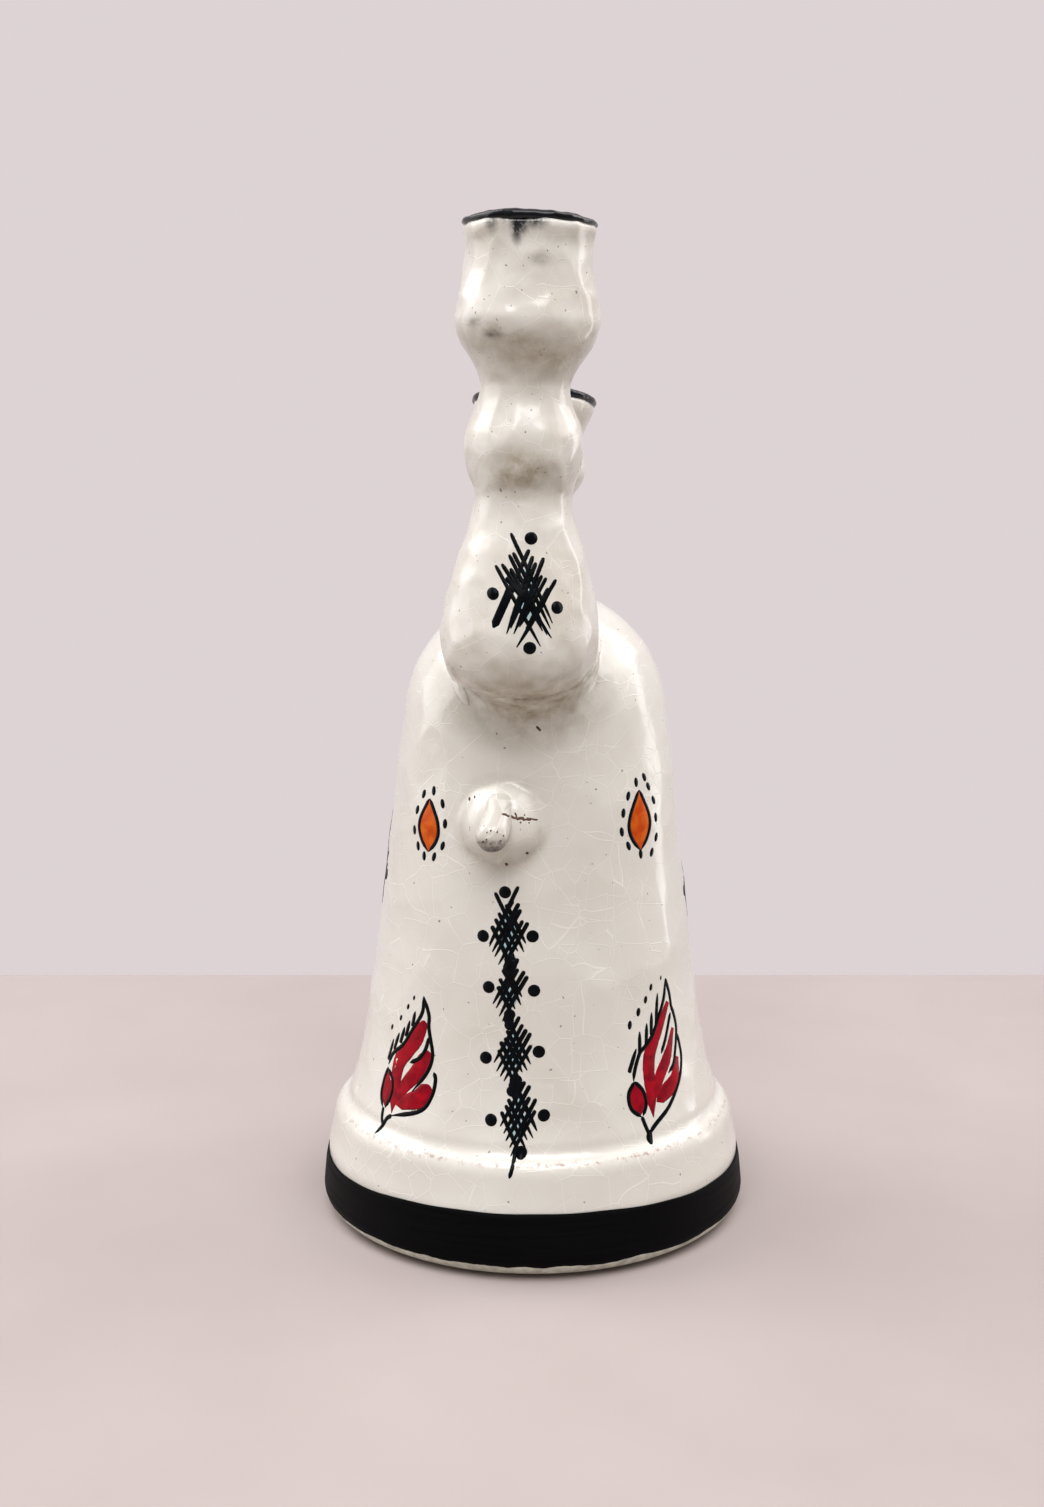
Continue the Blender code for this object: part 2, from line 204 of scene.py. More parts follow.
def tinGlaze(name, sizes):
    # tin-glazed earthenware, dipped: an opaque warm white under a wet gloss, crazed into cells whose lines
    # stand up a little paler, with iron specks, tea-brown dirt in the creases, soot and rubbed edges, and
    # painted shade darkening its undersides, the creases round the necks' roots and the stud's tip
    material, tree, shader, place = startMaterial(name)
    bend = addNode(tree, "TexNoise", {"Vector": place, "Scale": 1 / (sizes["bend"] * mm), "Detail": 1},
                   "Color")
    offset = addNode(tree, "VectorMath", {0: bend, 1: (0.5, 0.5, 0.5)}, operation="SUBTRACT")
    nudge = addNode(tree, "VectorMath", {0: offset, "Scale": sizes["nudge"] * mm}, operation="SCALE")
    bent = addNode(tree, "VectorMath", {0: place, 1: nudge}, operation="ADD")
    fade = addNode(tree, "TexNoise", {"Vector": place, "Scale": 1 / (sizes["fade"] * mm), "Detail": 2})
    crazing = []
    for cell, stops in ((sizes["cell"], [(0.55, white), (0.75, black)]),
                        (sizes["fineCell"], [(0.45, black), (0.6, white)])):
        edge = addNode(tree, "TexVoronoi", {"Vector": bent, "Scale": 1 / (cell * mm)},
                       feature="DISTANCE_TO_EDGE")
        line = addNode(tree, "MapRange", {0: edge, 2: sizes["line"] / cell, 3: 1, 4: 0})
        where = addNode(tree, "ValToRGB", {0: fade}, stops=stops)
        crazing.append(addNode(tree, "Math", {0: line, 1: where}, operation="MULTIPLY"))
    lines = addNode(tree, "Math", {0: crazing[0], 1: crazing[1]}, operation="MAXIMUM")
    mottle = addNode(tree, "TexNoise", {"Vector": place, "Scale": 1 / (sizes["mottle"] * mm), "Detail": 3})
    cream = [(0.35, linear(sizes["cream"])), (0.7, linear(sizes["shade"]))]
    tone = addNode(tree, "ValToRGB", {0: mottle}, stops=cream)
    faint = addNode(tree, "Math", {0: lines, 1: sizes["craze"]}, operation="MULTIPLY")
    grit = addNode(tree, "TexNoise", {"Vector": place, "Scale": 1 / (sizes["speck"] * mm), "Detail": 0})
    speck = addNode(tree, "MapRange", {0: grit, 1: sizes["rare"], 2: sizes["rare"] + 0.03, 4: 0.7})
    coats = [(faint, sizes["pale"]), (speck, sizes["iron"])]
    # the first two layers hold real dirt and soot together with painted shade on undersides and in creases
    for layer in ("stain_and_shade", "soot_and_shade", "wear"):
        grain, thin, thick, tint = sizes[layer]
        amount = addNode(tree, "Attribute", {}, "Fac", attribute_name=layer)
        grit = addNode(tree, "TexNoise", {"Vector": place, "Scale": 1 / (grain * mm), "Detail": 5,
                                          "Roughness": 0.65})
        patch = addNode(tree, "ValToRGB", {0: grit}, stops=[(thin, black), (thick, white)])
        mask = addNode(tree, "Math", {0: amount, 1: patch}, operation="MULTIPLY")
        coats.append((mask, tint))
    colour = tone
    for amount, tint in coats:
        colour = addNode(tree, "Mix", {"Factor": amount, 6: colour, 7: linear(tint)}, 2, data_type="RGBA")
    ripple = addNode(tree, "TexNoise", {"Vector": place, "Scale": 1 / (sizes["ripple"] * mm), "Detail": 2})
    soft = addNode(tree, "Bump", {"Strength": 0.4, "Distance": sizes["swell"] * mm, "Height": ripple})
    crisp = addNode(tree, "Bump", {"Strength": 0.5, "Distance": sizes["relief"] * mm, "Height": lines,
                                   "Normal": soft})
    dull = addNode(tree, "MapRange", {0: mask, 3: 0.17, 4: 0.55})  # rubbed spots lose their gloss
    feed(tree, shader, {"Base Color": colour, "Roughness": dull, "Normal": crisp, "IOR": 1.52,
                        "Coat Weight": 0.3, "Coat Roughness": 0.08})
    return material


def bandGlaze():
    # matt black slip brushed on the turning wheel: dull, with faint streaks round the foot; the foot's lower
    # edge was wiped clean before firing and shows the pale body
    material, tree, shader, place = startMaterial("brushed black slip")
    squeeze = addNode(tree, "Mapping", {"Vector": place, "Scale": (12, 12, 260)})
    streak = addNode(tree, "TexNoise", {"Vector": squeeze, "Scale": 3, "Detail": 5})  # 28 mm by 1.3 mm
    slip = addNode(tree, "ValToRGB", {0: streak}, stops=[(0.3, linear("#040405")), (0.8, linear("#0d0d0f"))])
    height = addNode(tree, "SeparateXYZ", {0: place}, "Z")
    waver = addNode(tree, "TexNoise", {"Vector": place, "Scale": 1 / (9 * mm), "Detail": 4})
    edge = addNode(tree, "MapRange", {0: waver, 1: 0.3, 2: 0.7, 3: 4.1 * mm, 4: 5.1 * mm})
    above = addNode(tree, "Math", {0: height, 1: edge}, operation="SUBTRACT")
    mask = addNode(tree, "MapRange", {0: above, 1: -0.05 * mm, 2: 0.1 * mm})
    dust = addNode(tree, "TexNoise", {"Vector": place, "Scale": 1 / (3 * mm), "Detail": 5})
    body = addNode(tree, "ValToRGB", {0: dust}, stops=[(0.3, linear("#efece4")), (0.7, linear("#c2beb4"))])
    colour = addNode(tree, "Mix", {"Factor": mask, 6: body, 7: slip}, 2, data_type="RGBA")
    satin = addNode(tree, "MapRange", {0: streak, 1: 0.3, 2: 0.7, 3: 0.5, 4: 0.66})
    bump = addNode(tree, "Bump", {"Strength": 0.35, "Distance": 0.15 * mm, "Height": streak})
    feed(tree, shader, {"Base Color": colour, "Roughness": satin, "Normal": bump, "IOR": 1.45,
                        "Specular IOR Level": 0.06})
    return material


def potteryColour(name, deep, light, gloss, roughness, grain, relief):
    # glaze colour laid on with a brush and melted in: it pools deep and thins out lighter along the stroke
    material, tree, shader, place = startMaterial(name)
    flow = addNode(tree, "TexNoise", {"Vector": place, "Scale": 1 / (grain * mm), "Detail": 3,
                                      "Distortion": 0.6})
    colour = addNode(tree, "ValToRGB", {0: flow}, stops=[(0.35, linear(deep)), (0.65, linear(light))])
    bump = addNode(tree, "Bump", {"Strength": 0.3, "Distance": relief * mm, "Height": flow})
    feed(tree, shader, {"Base Color": colour, "Roughness": roughness, "Normal": bump, "IOR": 1.52,
                        "Specular IOR Level": gloss})
    return material


def bareClay():
    # unglazed buff earthenware, slab-rolled: dry and matt, with grog about half a millimetre wide
    material, tree, shader, place = startMaterial("bare buff earthenware")
    fire = addNode(tree, "TexNoise", {"Vector": place, "Scale": 1 / (25 * mm), "Detail": 4})
    grog = addNode(tree, "TexVoronoi", {"Vector": place, "Scale": 1 / (1.5 * mm)})
    tone = addNode(tree, "ValToRGB", {0: fire}, stops=[(0.3, linear("#c7a98b")), (0.7, linear("#b08f72"))])
    dots = addNode(tree, "MapRange", {0: grog, 1: 0.12, 2: 0.3, 3: 0.5, 4: 0.0})
    colour = addNode(tree, "Mix", {"Factor": dots, 6: tone, 7: linear("#8d6f56")}, 2, data_type="RGBA")
    bump = addNode(tree, "Bump", {"Strength": 0.5, "Distance": 0.2 * mm, "Height": grog})
    feed(tree, shader, {"Base Color": colour, "Roughness": 0.9, "Normal": bump})
    return material


bodyGlaze = {  # sizes in millimetres
    "cream": "#ede9e3", "shade": "#e2dcd4", "mottle": 35, "ripple": 7, "swell": 0.4,
    "cell": 11, "fineCell": 7, "line": 0.14, "relief": 0.1, "bend": 14, "nudge": 2.5, "fade": 16,
    "pale": "#fbf8f2", "craze": 0.72,
    "speck": 1.1, "rare": 0.845, "iron": "#4a382c",
    "stain_and_shade": (6, 0.25, 0.65, "#9c9079"),  # grain, where it thins out and is full, tint of dirt and painted shade
    # soot on the necks, and painted shade under the stud's tip
    "soot_and_shade": (2.5, 0.2, 0.5, "#14151b"),
    "wear": (1.6, 0.52, 0.6, "#ab8878"),
}
creamGlaze = tinGlaze("crazed tin glaze", bodyGlaze)
neckGlaze = tinGlaze("handled tin glaze", bodyGlaze | {
    "craze": 0.45, "relief": 0.07, "speck": 0.95, "rare": 0.815, "mottle": 14, "shade": "#dcd4ca"})
# the stud's glaze is the body's glaze painted darker all over as shade, with a grey rubbed tint
shadedStudGlaze = tinGlaze("rubbed and shaded tin glaze", bodyGlaze | {
    "cream": "#dcd7cf", "shade": "#d0c9bf", "wear": (1.1, 0.34, 0.6, "#7d7370")})
slipBlack = bandGlaze()
colours = {  # deep and light tint, gloss, roughness, grain and relief
    "pooled blue-black glaze": ("#020306", "#0b0f18", 0.34, 0.1, 3, 0.5),
    "brushed manganese black": ("#020304", "#080d13", 0.08, 0.3, 2, 0.05),
    "brushed iron red": ("#7c0418", "#a8091f", 0.14, 0.25, 4, 0.08),
    "brushed ochre orange": ("#c44406", "#e06a12", 0.14, 0.25, 4, 0.08),
    "thin cobalt wash": ("#8db4c4", "#c3dbe2", 0.4, 0.2, 2, 0.05),
    "iron flecks": ("#3d2a22", "#6b4c3e", 0.3, 0.5, 1, 0.05),
}
lipBlue, brushBlack, brushRed, brushOrange, washBlue, ironBrown = (
    potteryColour(name, *form) for name, form in colours.items())
clay = bareClay()
print("materials mixed")


# How stained, sooty or rubbed the glaze is at each point, and how much painted shade it carries

def soilAndShade(piece, name, rule):
    layer = piece.data.attributes.new(name=name, type="FLOAT", domain="POINT")
    for vert in piece.data.vertices:
        layer.data[vert.index].value = clamp(rule(vert.co / mm, vert.normal))


def underside(normal, start, strength):
    # grows as the skin turns down, from where its normal's Z is at the start: painted shade on
    # down-facing skin, and on the stud the reach of its rubbed tip
    return strength * (start - normal.z)


def nearRing(place, radius, height, width):
    # 1 on a ring about the place's Z, falling to 0 at the width
    inverse = place.inverted()

    def rule(point):
        local = inverse @ (point * mm) / mm
        return max(0, 1 - hypot(hypot(local.x, local.y) - radius, local.z - height) / width)
    return rule


# Bell, with its sizes in millimetres as the frame has them

bell = {
    "footRadius": 57.7, "flareWidth": 4.5, "flareLength": 14.2, "ledgeLevel": 34.3, "waistLevel": 37.2,
    "domeLevel": 150.9, "domeRadius": 39.4, "wall": 4.5, "floor": 6, "lean": 0.006,
    "collar": [(63.3, 14), (63.4, 19.8), (62.3, 24), (61.5, 28), (61.15, 30), (60.5, 31.7), (59.5, 32.9),
               (58.2, 33.8), (57.1, 34.6), (56.5, 35.6)],  # from inside the foot ring up to the crease
    "sides": 120, "steps": 28, "hollowSteps": 14, "voxel": 1.1,
    "dome": (142, 150), "skin": (24, 44),  # levels between which smoothing and dents set in
    "hand": [(45, 1.1, "CLOUDS"), (11, 0.22, "CLOUDS"), (17, 0.8, "VORONOI")],
    "rootRing": {"radius": 19.5, "height": -9, "width": 18}, "rootDirtAndShade": 1.05,  # dirt and painted shade round the necks' roots
    # dirt and painted shade in the crease round the stud's mound
    "moundRing": {"radius": 11.6, "height": -0.5, "width": 4}, "moundDirtAndShade": 0.4,
    "steep": (0.5, 1 / 0.3), "under": (-0.1, 0.5),  # the normal's Z where dirt and painted shade set in, and how fast they grow
    "rubbed": {"level": 32.6, "reach": 0.9, "strength": 0.9, "outside": 55},  # the ledge's worn edge
}
coneRun = bell["domeLevel"] - bell["ledgeLevel"]
coneFoot = bell["footRadius"] - bell["flareWidth"]
coneAngle = acos(bell["domeRadius"] / hypot(coneFoot, coneRun)) - atan2(coneRun, coneFoot)


def bellRadius(level):
    cone = bell["domeRadius"] / cos(coneAngle) + (bell["domeLevel"] - level) * tan(coneAngle)
    return cone + bell["flareWidth"] * exp((bell["ledgeLevel"] - level) / bell["flareLength"])


def bellOutline(inset, steps):
    # from the waist above the ledge, up the flare and the cone, and over the dome
    start, end = bell["waistLevel"], bell["domeLevel"] + bell["domeRadius"] * sin(coneAngle)
    levels = [start + (end - start) * (step / steps) ** 1.6 for step in range(steps)]  # closer at the flare
    points = [(bellRadius(level) - inset, level) for level in levels]
    points += arc((0, bell["domeLevel"]), bell["domeRadius"] - inset, coneAngle, pi / 2, steps)[:-1]
    return points + [(0, bell["domeLevel"] + bell["domeRadius"] - inset)]


# Necks and their rolled lips; stations are radius and height, soot and stain spots are sideways,
# below the mouth, half width, half height and strength; the wide stain spots under the cup and
# the swell are painted shade

frontNeck = {
    "name": "front_neck", "centre": (-3.92, -37.26, 182), "facing": -6, "tilt": 1.4, "lean": 0,
    "root": 39.7, "bulb": 22.2, "middle": -1.6, "depth": 18.6, "fullness": 2.7, "sides": 84,
    "stations": [(22.2, -1.6), (21.6, 3), (20.9, 7), (19.7, 11.7), (18.4, 16.2), (16.9, 21.2), (15.3, 26.2),
                 (14, 31), (13.45, 35.5), (13.8, 38.2), (15, 41.6), (16.05, 46.2), (16.45, 50.4),
                 (15.9, 53.6), (14.5, 57.2), (12.9, 61.6), (12.25, 65.2), (13.1, 68.2), (14.9, 71.9),
                 (17.1, 75), (18.7, 78.2), (19.75, 82), (19.45, 84.6), (18.7, 88.2), (18, 92.4), (17.5, 96),
                 (17.15, 100.4), (17.35, 103.6), (18.35, 107.9)],
    "soot_and_shade": [(-0.8, 0.4, 3.4, 5.2, 1.4), (-1.6, 2.4, 2.2, 5.6, 1), (3.2, 0.2, 4.6, 3.2, 1),
             (-8.7, 0.4, 2.8, 4.4, 0.8), (-4.6, 0, 3.4, 1.5, 1), (5, 10.3, 3.6, 2.2, 0.32),
             (-7.2, 29.8, 4.6, 1.5, 0.55), (-12.6, 26.4, 2.4, 1.2, 0.28)],
    # the last two spots, under the cup and under the swell, are painted shade; the others are stains
    "stain_and_shade": [(-7.5, 28.7, 4.6, 2.6, 1.5), (-13, 26.5, 4.5, 2.4, 1), (0, 31.5, 16, 5.5, 0.9),
              (1, 65.5, 15, 8, 1.5)],
    "aside": 1.5, "scale": 1,  # of the clay worked in under it
    "pinch": 0.42,  # how far its lip is flattened left and right
}
rearNeck = {
    "name": "rear_neck", "centre": (-1.2, 33.81, 183.55), "facing": 180, "tilt": 1.6, "lean": 10,
    "root": 44, "bulb": 19.4, "middle": -1, "depth": 17.5, "fullness": 2.8, "sides": 72,
    "stations": [(19.4, -1), (18.6, 5), (16.9, 11), (14.5, 19), (12.4, 26), (11.8, 30.5), (12.9, 33.6),
                 (15.4, 37.2), (16.6, 40.5), (16.1, 44.5), (15.2, 48.5), (15.8, 52), (17.4, 56),
                 (19.8, 61.8)],
    "soot_and_shade": [(4, 0.6, 1.6, 2.6, 1), (-6, 0.5, 2.6, 1.2, 0.8)], "stain_and_shade": [(-5, 24, 4, 2, 0.8)],
    "aside": 0, "scale": 0.88, "pinch": 0.15,
}
thrown = {  # the same for both necks
    "wall": 3.5, "bore": 4, "bellySteps": 14, "stationSteps": 2,
    "coreInset": 2.2, "coreSteps": 20,  # the dome is cut out of the bulb
    "hand": [(16, 0.8, "CLOUDS"), (10, 0.9, "VORONOI"), (5.5, 0.3, "VORONOI")],
    "soot_and_shade": 1.4, "under": (-0.06, 1.15),  # how strong the soot is, and the painted shade on the neck's down-facing skin
    "pedestal": [(0, -2), (21.2, -6), (20, -8.5), (18.8, -11), (18.2, -14), (18.6, -17), (20, -20),
                 (21, -24), (0, -26)],
    "climb": 52, "passage": [(0, -26), (9, -26), (9, 0), (0, 0)], "passageSides": 32,
}
lip = {  # out from the mouth's edge and up
    "bead": [(-3.9, -2.8), (-3, -2.8), (-0.9, -0.3), (-0.3, -0.15), (-0.1, 0.3), (-0.05, 1), (-0.2, 1.6),
             (-0.7, 2.1), (-1.3, 2.4), (-2.3, 2.45), (-3.3, 2.3), (-4, 1.7), (-4.2, 0.7), (-4.1, -1.4),
             (-3.9, -2.8)],
    "sides": 96, "hand": [(9, 0.6, "CLOUDS"), (3.5, 0.4, "CLOUDS")],
}


def neckPlace(neck):
    turned = rotation(neck["tilt"], "Y") @ rotation(neck["facing"], "Z")
    return shift(neck["centre"]) @ turned @ rotation(neck["lean"], "X")


def rootPlace(neck, climb, aside=0.0):
    # Z runs out of the dome through the bulb's middle
    centre = Vector(neck["centre"]) + Vector((aside, 0, neck["middle"]))
    return shift(centre) @ rotation(neck["facing"], "Z") @ rotation(90 - climb, "X")


def makePedestal(neck):
    # clay worked in under the bulb: it meets the bulb in a crease and runs out over the dome
    outline = [(radius * neck["scale"], height * neck["scale"]) for radius, height in thrown["pedestal"]]
    return turn(neck["name"] + " pedestal", outline, place=rootPlace(neck, thrown["climb"], neck["aside"]))


def makePassage(neck):
    # the hole through the dome into the bulb
    place = rootPlace(neck, neck["root"])
    return turn(neck["name"] + " passage", thrown["passage"], thrown["passageSides"], place)


def neckOutline(neck):
    # a full belly below the bulb's middle, then a soft curve through the stations
    bulb, depth, power = neck["bulb"], neck["depth"], neck["fullness"]
    belly = []
    for step in range(1, thrown["bellySteps"]):
        lift = -cos(pi / 2 * step / thrown["bellySteps"])
        belly.append((bulb * (1 - abs(lift) ** power) ** (1 / power), neck["middle"] + lift * depth))
    stations = [Vector(station) for station in neck["stations"]]
    count = thrown["stationSteps"] * (len(stations) - 1)
    return belly + [tuple(through(stations, step / count)) for step in range(count + 1)]


def makeNeck(neck):
    outside = neckOutline(neck)
    bottom, wall = neck["middle"] - neck["depth"], thrown["wall"]
    floor = bottom + wall
    inside = [(max(radius - wall, thrown["bore"]), max(height, floor)) for radius, height in outside]
    outline = [(0, bottom)] + outside + inside[::-1] + [(0, floor)]
    piece = turn(neck["name"], outline, neck["sides"], neckPlace(neck))
    core = [(0, bell["waistLevel"])] + bellOutline(thrown["coreInset"], thrown["coreSteps"])
    carve(piece, turn("dome core", core))
    modify(piece, "SUBSURF", levels=1, render_levels=1)
    wobble(piece, thrown["hand"])
    inverse = neckPlace(neck).inverted()
    mouth = neck["stations"][-1]

    def smudgeAndShade(point, spots):
        # dark lip glaze that ran and was wiped, dirt that settled in a dent,
        # and painted shade under the cup and the swell
        local = inverse @ (point * mm) / mm
        side = atan2(local.x, -local.y) * mouth[0]
        return max(strength * (1 - hypot((side - at) / wide, (mouth[1] - down - local.z) / tall))
                   for at, down, wide, tall, strength in spots)

    soilAndShade(piece, "soot_and_shade", lambda p, n: thrown["soot_and_shade"] * smudgeAndShade(p, neck["soot_and_shade"]))
    # painted shade on the neck's down-facing skin, together with its stains and painted shade spots
    soilAndShade(piece, "stain_and_shade", lambda p, n: max(underside(n, *thrown["under"]), smudgeAndShade(p, neck["stain_and_shade"])))
    finish(piece, neckGlaze, "cream_glaze", neck["name"] + "_bulb", neck["name"] + "_stem")
    return piece


def makeLip(neck):
    radius, level = neck["stations"][-1]
    outline = [(radius + out, level + up) for out, up in lip["bead"]]
    piece = turn(neck["name"] + "_bead", outline, lip["sides"])
    modify(piece, "SUBSURF", levels=1, render_levels=1)
    for vert in piece.data.vertices:  # less glaze has gathered to the left and right
        vert.co.z -= neck["pinch"] * (vert.co.x / (radius * mm)) ** 2 * max(0, vert.co.z - level * mm)
    stand(piece, neckPlace(neck))
    wobble(piece, lip["hand"])
    finish(piece, lipBlue, "blue_black_lip", neck["name"].replace("neck", "lip"))


# Stud: a blunt finger with a thin roll at its root, its tip rubbed grey below, with painted shade on
# its underside, on a soft mound

stud = {
    "root": (-9.1, -43.1, 130.8), "turn": -17.3, "droop": 32.4, "tip": 4.5, "length": 10.3, "sides": 48,
    "outline": [(0, -3), (4.9, -3), (5, -0.7), (5.1, 0), (4.95, 0.8), (4.6, 1.6), (4.35, 2.6), (4.25, 3.8),
                (4.3, 5.2), (4.42, 7), (4.5, 8.6)],
    # under and the tip's darkest underside are painted shade; wear is the rubbed tip
    "hand": [(7, 0.5, "CLOUDS")], "under": (-0.12, 0.9), "wear": (0.1, 1 / 0.3), "soot_and_shade": (-0.4, 1 / 0.35),
    "rubFrom": 8, "rubRun": 2,  # the rubbed tip sets in that far out
}
mound = {
    "turn": -13, "level": 126.5, "sides": 48,
    "outline": [(0, -4), (14.5, -4), (13, -1.6), (11.9, -0.3), (10.9, 0.9), (9.9, 2.2), (8.6, 3.7),
                (6.8, 5), (4.6, 5.8), (2.3, 6.1), (0, 6.2)],
}


def moundPlace():
    out = rotation(mound["turn"], "Z") @ shift((0, -bellRadius(mound["level"]), mound["level"]))
    return out @ Matrix.Rotation(pi / 2 - coneAngle, 4, "X")


def studPlace():
    # Z runs out along the finger, down to the left
    return shift(stud["root"]) @ rotation(stud["turn"], "Z") @ rotation(90 + stud["droop"], "X")


def makeStud():
    tip, reach = stud["tip"], stud["length"]
    outline = stud["outline"] + arc((0, reach), tip, 0, pi / 2, 10)[:-1] + [(0, reach + tip)]
    piece = turn("stud_nub", outline, stud["sides"])
    modify(piece, "SUBSURF", levels=1, render_levels=1)
    stand(piece, studPlace())
    wobble(piece, stud["hand"])
    inverse = studPlace().inverted()

    def onTip(point):
        along = (inverse @ (point * mm) / mm).z
        return clamp((along - stud["rubFrom"]) / stud["rubRun"])

    soilAndShade(piece, "wear", lambda p, n: onTip(p) * underside(n, *stud["wear"]))
    # painted shade on the tip's underside and on all the stud's down-facing skin
    soilAndShade(piece, "soot_and_shade", lambda p, n: onTip(p) * underside(n, *stud["soot_and_shade"]))
    soilAndShade(piece, "stain_and_shade", lambda p, n: underside(n, *stud["under"]))
    finish(piece, shadedStudGlaze, "worn_glaze", "front_stud")
    return piece


# Bell skin: bell, collar, the clay worked in round both necks and the mound under the stud

def makeBell():
    outline = [(0, bell["collar"][0][1])] + bell["collar"] + bellOutline(0, bell["steps"])
    piece = turn("glazed_bell", outline, bell["sides"])
    pedestals = [makePedestal(neck) for neck in (frontNeck, rearNeck)]
    pick(piece, *pedestals, turn("stud mound", mound["outline"], mound["sides"], moundPlace()))
    bpy.ops.object.join()
    modify(piece, "REMESH", mode="VOXEL", voxel_size=bell["voxel"] * mm, use_smooth_shade=True)
    modify(piece, "SMOOTH", factor=0.5, iterations=2)
    grade(piece, "dome", *bell["dome"])
    modify(piece, "SMOOTH", factor=0.5, iterations=22, vertex_group="dome")
    grade(piece, "skin", *bell["skin"])
    wobble(piece, bell["hand"], "skin")
    for vert in piece.data.vertices:  # it leans a little to the right
        vert.co.x += bell["lean"] * max(0, vert.co.z - bell["waistLevel"] * mm)
    inner = [(0, bell["floor"]), (bell["footRadius"] - bell["wall"], bell["floor"])]
    inner += bellOutline(bell["wall"], bell["hollowSteps"])
    carve(piece, turn("bell hollow", inner), makePassage(frontNeck), makePassage(rearNeck))
    places = [rootPlace(neck, thrown["climb"]) for neck in (frontNeck, rearNeck)]
    atRoots = [nearRing(place, **bell["rootRing"]) for place in places]
    atMound = nearRing(moundPlace(), **bell["moundRing"])

    # dirt and painted shade round the necks' roots and the mound, and painted shade on down-facing skin
    def stainedAndShaded(point, normal):
        steep = clamp(underside(normal, *bell["steep"]))  # not on the top of the dome
        dirtAndShade = [bell["moundDirtAndShade"] * atMound(point)]
        dirtAndShade += [bell["rootDirtAndShade"] * steep * near(point) for near in atRoots]
        return max(dirtAndShade) + max(0, underside(normal, *bell["under"]))

    def worn(point, normal):
        rubbed = bell["rubbed"]
        if hypot(point.x, point.y) <= rubbed["outside"]:
            return 0
        return rubbed["strength"] - abs(point.z - rubbed["level"]) / rubbed["reach"]

    soilAndShade(piece, "stain_and_shade", stainedAndShaded)
    soilAndShade(piece, "wear", worn)
    finish(piece, creamGlaze, "cream_glaze", "bell_body", "ledge_collar", "front_luting_coil",
           "rear_luting_coil")
    return piece


# Foot ring under its black band

foot = {
    "radius": 65.1, "topRadius": 63.8, "top": 19.8, "bore": 58, "flange": 46.9, "flangeHeight": 6,
    "edge": 6.5, "under": 9,  # height and depth of the rounding under the foot
    "rim": [(-0.25, 0.15), (-1, -0.4)],  # rolls in over the top edge
    "dip": 2.9,  # the band is that much lower at the sides
    "waver": [(0.22, 3, 1), (0.14, 7, 4), (0.07, 19, 0)],  # height, waves round the foot and where
    "waverFrom": 14, "sides": 180,
}


def makeFoot():
    radius, top, edge = foot["radius"], foot["top"], foot["edge"]
    contact = radius - foot["under"]
    outline = [(foot["flange"], 0)]
    rounding = arc((0, 0), 1, -pi / 2, 0, 10)
    outline += [(contact + foot["under"] * out, edge * (1 + up)) for out, up in rounding]
    for share in [step / 10 for step in range(1, 11)]:
        outline.append((radius + (foot["topRadius"] - radius) * share, edge + (top - edge) * share))
    outline += [(foot["topRadius"] + out, top + up) for out, up in foot["rim"]]
    outline += [(foot["bore"], top - 1), (foot["bore"], foot["flangeHeight"]),
                (foot["flange"], foot["flangeHeight"]), (foot["flange"], 0)]
    piece = turn("foot_ring", outline, foot["sides"])
    for vert in piece.data.vertices:  # the brush wavered along the band's top edge
        share = max(0, vert.co.z / mm - foot["waverFrom"]) / (top - foot["waverFrom"])
        angle = atan2(vert.co.y, vert.co.x)
        waver = sum(height * sin(waves * angle + start) for height, waves, start in foot["waver"])
        vert.co.z += share * mm * (waver - foot["dip"] * cos(angle) ** 2)
    finish(piece, slipBlack, "black_band", "base_ring")


shell = makeBell()
skins = {}
for neck in (frontNeck, rearNeck):
    skins[neck["name"]] = makeNeck(neck)
    makeLip(neck)
skins["stud"] = makeStud()
makeFoot()
slab = bpy.data.objects["floor_slab"]
slab.data.materials.clear()
slab.data.materials.append(clay)
print("clay pieces done")


# Brush marks: two are modelled straight, and each stroke is a copy bent along its path and laid on the glaze

def makeMark(name, sides, rings):
    # lies along X from 0 to 1, 2 wide and 2 thick, with its rings closer together towards the ends
    deselectAll()
    bpy.ops.mesh.primitive_circle_add(vertices=sides, radius=1, fill_type="NGON",
                                      rotation=(pi / 2, 0, pi / 2))
    piece = bpy.context.object
    piece.name = name
    bpy.ops.object.transform_apply(rotation=True)
    bpy.ops.object.mode_set(mode="EDIT")
    bpy.ops.mesh.select_all(action="SELECT")
    here = 0.0
    for ring in range(1, rings + 1):
        there = (1 - cos(pi * ring / rings)) / 2
        bpy.ops.mesh.extrude_region_move(TRANSFORM_OT_translate={"value": (there - here, 0, 0)})
        here = there
    bpy.ops.mesh.select_all(action="SELECT")
    bpy.ops.mesh.normals_make_consistent(inside=False)
    bpy.ops.object.mode_set(mode="OBJECT")
    bpy.ops.object.shade_smooth()
    return piece


brush = {"dab": makeMark("brush dab", 6, 8), "line": makeMark("brush line", 8, 28)}
paint = {  # millimetres above and below the skin
    "reach": 90, "edge": 0.02, "root": 0.45, "crown": 0.13, "film": 0.05, "lobe": 0.08, "drop": 0.1,
    "line": 0.18, "crack": 0.06,
    "tangent": 0.02, "thin": 0.3,  # shares of a path and of a height
}


# How wide a mark is along its length, as a share of its width

def roundEnds(t):
    return max(0, 1 - (2 * t - 1) ** 2) ** 0.5


def lineEnds(t):
    return min(1, 9 * t + 0.3, 7 * (1 - t) + 0.25)


def dragEnds(t):
    # set down blunt and lifted off to a point
    return min(1, 12 * t + 0.55) * (1 - 0.75 * max(0, (t - 0.6) / 0.4) ** 2)


def almondEnds(t):
    return max(0.02, sin(pi * t ** 1.2)) ** 0.9


